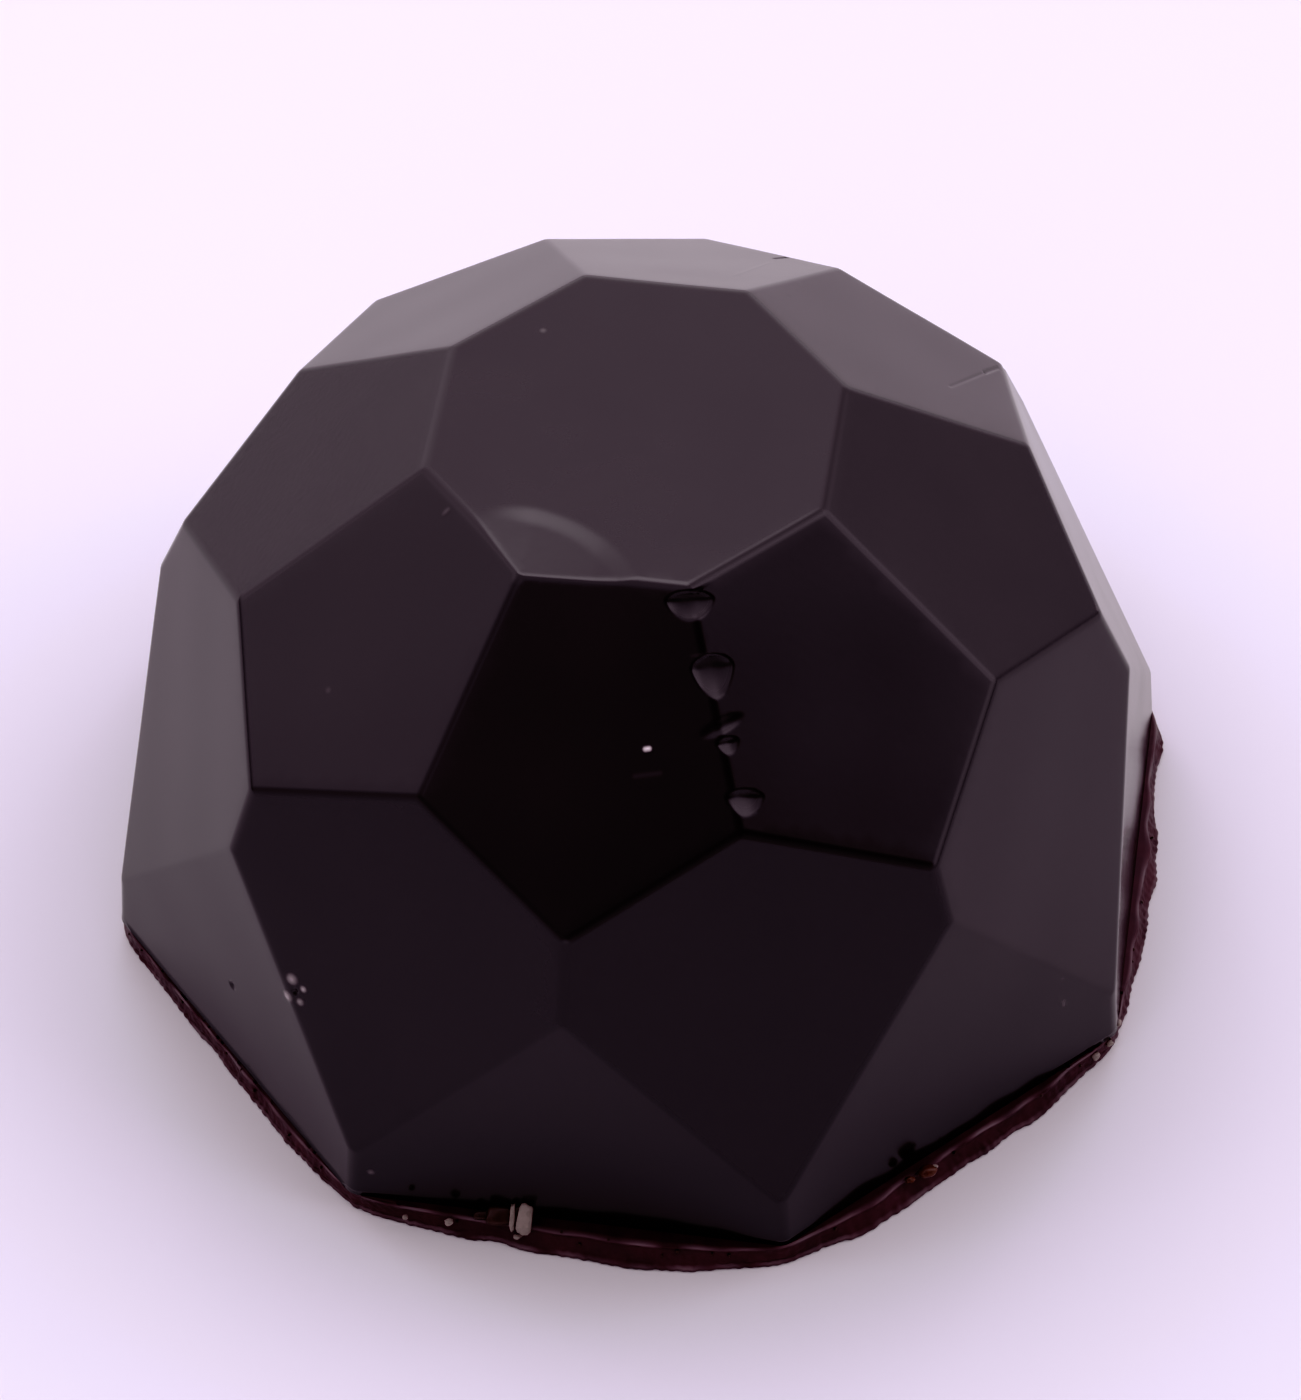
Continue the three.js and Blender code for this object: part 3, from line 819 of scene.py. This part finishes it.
# Crumbs on the ledge: small broken bits of chocolate left where the surplus was snapped off.
# They cling where they fell: pale waxy bits lean on the front face beside a brown flake, others lie about,
# and one small pale bit on the orange crumb is its painted highlight.
LUMP_DETAIL = 3
LUMP_WAVES = 6
LUMP_WAVE_RATE = 2
LUMP_ROUGHNESS = 0.1
PALE_CRUMBS_AND_HIGHLIGHT = [
    {"centre": (-1.5, -14.95, 0.98), "size": (0.16, 0.78, 0.24), "turn": 4, "lean": 46, "boxy": 5},
    {"centre": (-1.13, -14.95, 1.0), "size": (0.4, 0.84, 0.3), "turn": -5, "lean": 46, "boxy": 6},
    {"centre": (-1.32, -15.28, 0.5), "size": (0.26, 0.16, 0.12), "turn": 20, "lean": 0, "boxy": 3},
    {"centre": (-4.55, -15.21, 0.69), "size": (0.18, 0.16, 0.1), "turn": 10, "lean": 0, "boxy": 2.5},
    {"centre": (-3.29, -15.19, 0.69), "size": (0.24, 0.2, 0.12), "turn": 30, "lean": 0, "boxy": 3},
    # A painted highlight: a small pale lump on the orange crumb, where it catches the light
    {"centre": (10.1, -11.5, 0.84), "size": (0.16, 0.12, 0.1), "turn": 0, "lean": 0, "boxy": 2.5},
    {"centre": (14.8, -5.55, 0.5), "size": (0.2, 0.26, 0.16), "turn": 0, "lean": 0, "boxy": 2.5},
    {"centre": (14.62, -6.29, 0.48), "size": (0.22, 0.18, 0.16), "turn": 30, "lean": 0, "boxy": 3},
    {"centre": (14.28, -6.8, 0.48), "size": (0.26, 0.2, 0.18), "turn": 50, "lean": 0, "boxy": 3},
]
BROWN_CRUMBS = [
    {"centre": (-1.36, -14.93, 0.94), "size": (0.3, 0.7, 0.2), "turn": 0, "lean": 46, "boxy": 4},
    {"centre": (-1.85, -14.9, 0.88), "size": (0.8, 0.5, 0.3), "turn": 8, "lean": 40, "boxy": 3.5},
    {"centre": (-2.35, -14.88, 0.8), "size": (0.6, 0.26, 0.16), "turn": 14, "lean": 30, "boxy": 3},
]
ORANGE_CRUMBS = [
    {"centre": (9.9, -11.68, 0.84), "size": (0.5, 0.36, 0.26), "turn": 38, "lean": 10, "boxy": 3},
    {"centre": (9.45, -12.02, 0.8), "size": (0.26, 0.2, 0.16), "turn": 10, "lean": 0, "boxy": 2.5},
]


def add_lump(shape, lump, random):
    """Adds one broken bit: a rounded box, lumpy, leaned back and turned, at its place."""
    made = bmesh.ops.create_icosphere(shape, subdivisions=LUMP_DETAIL, radius=1)
    points = np.array([tuple(vert.co) for vert in made["verts"]])
    power = lump["boxy"]
    points /= ((np.abs(points) ** power).sum(1) ** (1 / power))[:, None]
    for _ in range(LUMP_WAVES):
        wave = random.normal(size=3) * LUMP_WAVE_RATE
        points *= (1 + LUMP_ROUGHNESS * np.sin(points @ wave + random.uniform(0, 2 * math.pi)) / 2)[:, None]
    points *= np.array(lump["size"]) / 2
    lean, turn = math.radians(lump["lean"]), math.radians(lump["turn"])
    leaned = Quaternion((1, 0, 0), lean).to_matrix()
    turned = Quaternion((0, 0, 1), turn).to_matrix()
    points = points @ np.array(turned @ leaned).T + lump["centre"]
    for vert, point in zip(made["verts"], points):
        vert.co = point


def crumb_piece(name, lumps, seed, material):
    """Makes one piece of all the crumbs of one kind."""
    random = np.random.default_rng(seed)
    shape = bmesh.new()
    for lump in lumps:
        add_lump(shape, lump, random)
    finished_piece(name, shape, None, material)


waxy_chocolate_and_highlight = chocolate_material(
    "waxy_chocolate_and_highlight", deep=(0.12, 0.095, 0.08), light=(0.4, 0.35, 0.31),
    patch_scale=2500, grain_scale=9000, smoothest=0.2, roughest=0.35, grain_depth=0.006, ior=1.45)
brown_chocolate = chocolate_material(
    "brown_chocolate", deep=(0.028, 0.015, 0.011), light=(0.075, 0.04, 0.028),
    patch_scale=2500, grain_scale=9000, smoothest=0.25, roughest=0.4, grain_depth=0.006, ior=1.45)
orange_chocolate = chocolate_material(
    "orange_brown_chocolate", deep=(0.055, 0.024, 0.013), light=(0.13, 0.06, 0.032),
    patch_scale=2500, grain_scale=9000, smoothest=0.25, roughest=0.4, grain_depth=0.006, ior=1.45)
crumb_piece("pale_crumbs_and_highlight", PALE_CRUMBS_AND_HIGHLIGHT, seed=3, material=waxy_chocolate_and_highlight)
crumb_piece("brown_flakes", BROWN_CRUMBS, seed=5, material=brown_chocolate)
crumb_piece("orange_crumbs", ORANGE_CRUMBS, seed=8, material=orange_chocolate)


# The fine crumbs: dust of the same chocolate from the snapped surplus, caught all along the ledge.
# They are strewn over a ribbon that follows the ledge's outer half, and cling to it where they fell.
CRUMB_DENSITY = 3000000
CRUMB_NEAREST = 0.25
CRUMB_SIZES = (0.025, 0.06)
CRUMB_SEED = 12
CRUMB_DETAIL = 2
CRUMB_HEIGHT = 0.015
RIBBON_STEPS = 8
RIBBON_RING = 3


def crumb_scatter():
    """Geometry nodes that turn a ribbon into small crumbs of several sizes strewn over it."""
    group = bpy.data.node_groups.new("crumb_scatter", "GeometryNodeTree")
    add_sockets(group, "INPUT", {
        "Ribbon": "NodeSocketGeometry", "Density": "NodeSocketFloat", "Nearest": "NodeSocketFloat",
        "Smallest": "NodeSocketFloat", "Largest": "NodeSocketFloat", "Seed": "NodeSocketInt",
        "Finish": "NodeSocketMaterial",
    })
    add_sockets(group, "OUTPUT", {"Crumbs": "NodeSocketGeometry"})
    nodes, links = group.nodes, group.links
    given = nodes.new("NodeGroupInput")
    result = nodes.new("NodeGroupOutput")
    strewn = nodes.new("GeometryNodeDistributePointsOnFaces")
    strewn.distribute_method = "POISSON"
    links.new(given.outputs["Ribbon"], strewn.inputs["Mesh"])
    links.new(given.outputs["Density"], strewn.inputs["Density Max"])
    links.new(given.outputs["Nearest"], strewn.inputs["Distance Min"])
    links.new(given.outputs["Seed"], strewn.inputs["Seed"])
    ball = nodes.new("GeometryNodeMeshIcoSphere")
    ball.inputs["Radius"].default_value = 1
    ball.inputs["Subdivisions"].default_value = CRUMB_DETAIL
    size = nodes.new("FunctionNodeRandomValue")
    size.data_type = "FLOAT_VECTOR"
    links.new(given.outputs["Smallest"], size.inputs["Min"])
    links.new(given.outputs["Largest"], size.inputs["Max"])
    links.new(given.outputs["Seed"], size.inputs["Seed"])
    placed = nodes.new("GeometryNodeInstanceOnPoints")
    links.new(strewn.outputs["Points"], placed.inputs["Points"])
    links.new(ball.outputs["Mesh"], placed.inputs["Instance"])
    links.new(strewn.outputs["Rotation"], placed.inputs["Rotation"])
    links.new(size.outputs["Value"], placed.inputs["Scale"])
    realized = nodes.new("GeometryNodeRealizeInstances")
    links.new(placed.outputs["Instances"], realized.inputs["Geometry"])
    finish = nodes.new("GeometryNodeSetMaterial")
    links.new(realized.outputs["Geometry"], finish.inputs["Geometry"])
    links.new(given.outputs["Finish"], finish.inputs["Material"])
    links.new(finish.outputs["Geometry"], result.inputs["Crumbs"])
    return group


ribbon_turns = angles[::RIBBON_STEPS]
outer_share = FACE_RINGS[RIBBON_RING]
ribbon_edges = [
    (lip - LIP_BEAD, layer_top - CRUMB_HEIGHT),
    (lip + face * outer_share, lip_low - fall * outer_share),
]
ribbon_lines = []
for reach, height in ribbon_edges:
    reach = reach[::RIBBON_STEPS]
    line = np.broadcast_arrays(reach * np.cos(ribbon_turns), reach * np.sin(ribbon_turns), height)
    ribbon_lines.append(np.stack(line, -1))
count = len(ribbon_turns)
ribbon_faces = []
for step in range(count):
    onward = (step + 1) % count
    ribbon_faces.append((step, count + step, count + onward, onward))
ribbon_mesh = bpy.data.meshes.new("crumb_ribbon")
ribbon_mesh.from_pydata(np.concatenate(ribbon_lines) * MM, [], ribbon_faces)
ribbon = bpy.data.objects.new("crumb_ribbon", ribbon_mesh)
bpy.context.scene.collection.objects.link(ribbon)
scatter = ribbon.modifiers.new("crumb_scatter", "NODES")
scatter.node_group = crumb_scatter()
settings = {
    "Density": CRUMB_DENSITY, "Nearest": CRUMB_NEAREST * MM, "Smallest": CRUMB_SIZES[0] * MM,
    "Largest": CRUMB_SIZES[1] * MM, "Seed": CRUMB_SEED, "Finish": brown_chocolate,
}
for socket in scatter.node_group.interface.items_tree:
    if socket.name in settings:
        scatter[socket.identifier] = settings[socket.name]
evaluated = ribbon.evaluated_get(bpy.context.evaluated_depsgraph_get())
crumb_mesh = bpy.data.meshes.new_from_object(evaluated)
ribbon.modifiers.remove(scatter)
ribbon.data = crumb_mesh
ribbon.name = "rim_crumbs"
crumb_mesh.materials.clear()
crumb_mesh.materials.append(brown_chocolate)
for face in crumb_mesh.polygons:
    face.material_index = 0
crumb_mesh.shade_smooth()
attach(ribbon, "root")


# The floor and the light: a plain white floor between bright windows behind, at the left and at the right.
# The camera shades the front, so the front facets are the darkest, and low walls light their rounded edges.
FLOOR_HALF_WIDTH = 3000
PAPER_WHITENESS = 0.79
floor_mesh = bpy.data.meshes.new("paper_floor")
floor_corners = np.array([(-1, -1, 0), (1, -1, 0), (1, 1, 0), (-1, 1, 0)])
floor_mesh.from_pydata(floor_corners * FLOOR_HALF_WIDTH * MM, [], [(0, 1, 2, 3)])
floor = bpy.data.objects.new("paper_floor", floor_mesh)
bpy.context.scene.collection.objects.link(floor)
paper = bpy.data.materials.new("white_paper")
paper.use_nodes = True
paper_shader = paper.node_tree.nodes["Principled BSDF"]
paper_shader.inputs["Base Color"].default_value = (PAPER_WHITENESS, PAPER_WHITENESS, PAPER_WHITENESS, 1)
paper_shader.inputs["Roughness"].default_value = 1
paper_shader.inputs["Specular IOR Level"].default_value = 0
floor_mesh.materials.append(paper)

LIGHT_TINT = (0.93, 0.857, 1)
AMBIENT = 0.16
ROOM_LIGHTS = [
    {"name": "windows behind", "azimuth": 0, "elevation": 8, "half_angle": 75, "strength": 0.69},
    {"name": "their brightest part", "azimuth": 0, "elevation": 17, "half_angle": 45, "strength": 0.15},
    {"name": "lamp above them", "azimuth": 350, "elevation": 55, "half_angle": 30, "strength": 0.2},
    {"name": "window at the right", "azimuth": 82, "elevation": 37, "half_angle": 42, "strength": 1.12},
    {"name": "window at the left", "azimuth": 294, "elevation": 33, "half_angle": 42, "strength": 0.72},
    {"name": "pale wall at the left", "azimuth": 262, "elevation": 33, "half_angle": 30, "strength": 0.3},
    {"name": "ceiling", "azimuth": 0, "elevation": 90, "half_angle": 56, "strength": 0.62},
    {"name": "lamp on the ceiling", "azimuth": 346, "elevation": 66, "half_angle": 15, "strength": 1.6},
]
LOW_FRONT_LIGHTS = [
    {"name": "wall in front", "azimuth": 180, "elevation": -2, "half_angle": 34, "strength": 0.6},
    {"name": "wall at the front right", "azimuth": 125, "elevation": -2, "half_angle": 36, "strength": 0.4},
    {"name": "wall at the front left", "azimuth": 228, "elevation": -2, "half_angle": 34, "strength": 0.4},
    {"name": "glow behind the camera", "azimuth": 186, "elevation": 30, "half_angle": 48, "strength": 0.15},
]
CAMERA_SHADE = {"azimuth": 147, "elevation": 36, "half_angle": 47, "core_angle": 20}
SHADE_LEFT_OVER = 0.07
world = bpy.data.worlds.new("room")
bpy.context.scene.world = world
world.use_nodes = True
nodes, links = world.node_tree.nodes, world.node_tree.links
background = nodes["Background"]
direction = nodes.new("ShaderNodeTexCoord")


def soft_patch(patch, at_edge, at_middle):
    """A value that goes smoothly from the edge of a round patch of the room to its middle."""
    azimuth, elevation = math.radians(patch["azimuth"]), math.radians(patch["elevation"])
    level = math.cos(elevation)
    aim = (level * math.sin(azimuth), level * math.cos(azimuth), math.sin(elevation))
    toward = nodes.new("ShaderNodeVectorMath")
    toward.operation = "DOT_PRODUCT"
    toward.inputs[1].default_value = aim
    links.new(direction.outputs["Generated"], toward.inputs[0])
    glow = nodes.new("ShaderNodeMapRange")
    glow.interpolation_type = "SMOOTHSTEP"
    glow.inputs["From Min"].default_value = math.cos(math.radians(patch["half_angle"]))
    glow.inputs["From Max"].default_value = math.cos(math.radians(patch.get("core_angle", 0)))
    glow.inputs["To Min"].default_value = at_edge
    glow.inputs["To Max"].default_value = at_middle
    links.new(toward.outputs["Value"], glow.inputs["Value"])
    return glow.outputs["Result"]


def combined(operation, glow, other):
    """Two values of the room, added or multiplied."""
    result = nodes.new("ShaderNodeMath")
    result.operation = operation
    links.new(glow, result.inputs[0])
    links.new(other, result.inputs[1])
    return result.outputs[0]


room_glow = soft_patch(ROOM_LIGHTS[0], AMBIENT, AMBIENT + ROOM_LIGHTS[0]["strength"])
for light in ROOM_LIGHTS[1:]:
    room_glow = combined("ADD", room_glow, soft_patch(light, 0, light["strength"]))
room_glow = combined("MULTIPLY", room_glow, soft_patch(CAMERA_SHADE, 1, SHADE_LEFT_OVER))
for light in LOW_FRONT_LIGHTS:
    room_glow = combined("ADD", room_glow, soft_patch(light, 0, light["strength"]))
background.inputs["Color"].default_value = (*LIGHT_TINT, 1)
links.new(room_glow, background.inputs["Strength"])
backdrop = nodes.new("ShaderNodeBackground")
backdrop.inputs["Color"].default_value = (*LIGHT_TINT, 1)
backdrop.inputs["Strength"].default_value = 1
ray = nodes.new("ShaderNodeLightPath")
seen = nodes.new("ShaderNodeMixShader")
links.new(ray.outputs["Is Camera Ray"], seen.inputs["Fac"])
links.new(background.outputs["Background"], seen.inputs[1])
links.new(backdrop.outputs["Background"], seen.inputs[2])
links.new(seen.outputs["Shader"], nodes["World Output"].inputs["Surface"])

# The picture's tones: a close-up camera's own rendering, which deepens the darkest and lifts the lightest
TONES = [
    (0.02, 0.0018), (0.03, 0.0055), (0.0474, 0.02), (0.067, 0.045), (0.0868, 0.072), (0.1126, 0.106),
    (0.16, 0.178), (0.22, 0.262), (0.3, 0.37), (0.35, 0.445), (0.41, 0.548), (0.47, 0.68), (0.557, 0.895),
    (0.605, 1),
]
RED_TONES = [
    (0.02, 0.021), (0.026, 0.0283), (0.032, 0.0337), (0.04, 0.0425), (0.06, 0.064), (0.1, 0.107),
    (0.2, 0.214), (0.3, 0.319), (0.42, 0.427), (0.7, 0.7),
]
BLUE_TONES = [
    (0.02, 0.0188), (0.025, 0.0241), (0.03, 0.03), (0.06, 0.0592), (0.1, 0.0975),
    (0.2, 0.1945), (0.3, 0.291), (0.42, 0.412), (0.7, 0.7),
]
view_settings = bpy.context.scene.view_settings
view_settings.view_transform = "Standard"
view_settings.look = "None"
view_settings.use_curve_mapping = True
red_curve, _, blue_curve, whole_curve = view_settings.curve_mapping.curves
for curve, tones in ((whole_curve, TONES), (red_curve, RED_TONES), (blue_curve, BLUE_TONES)):
    for given_tone, shown_tone in tones:
        curve.points.new(given_tone, shown_tone)
view_settings.curve_mapping.update()
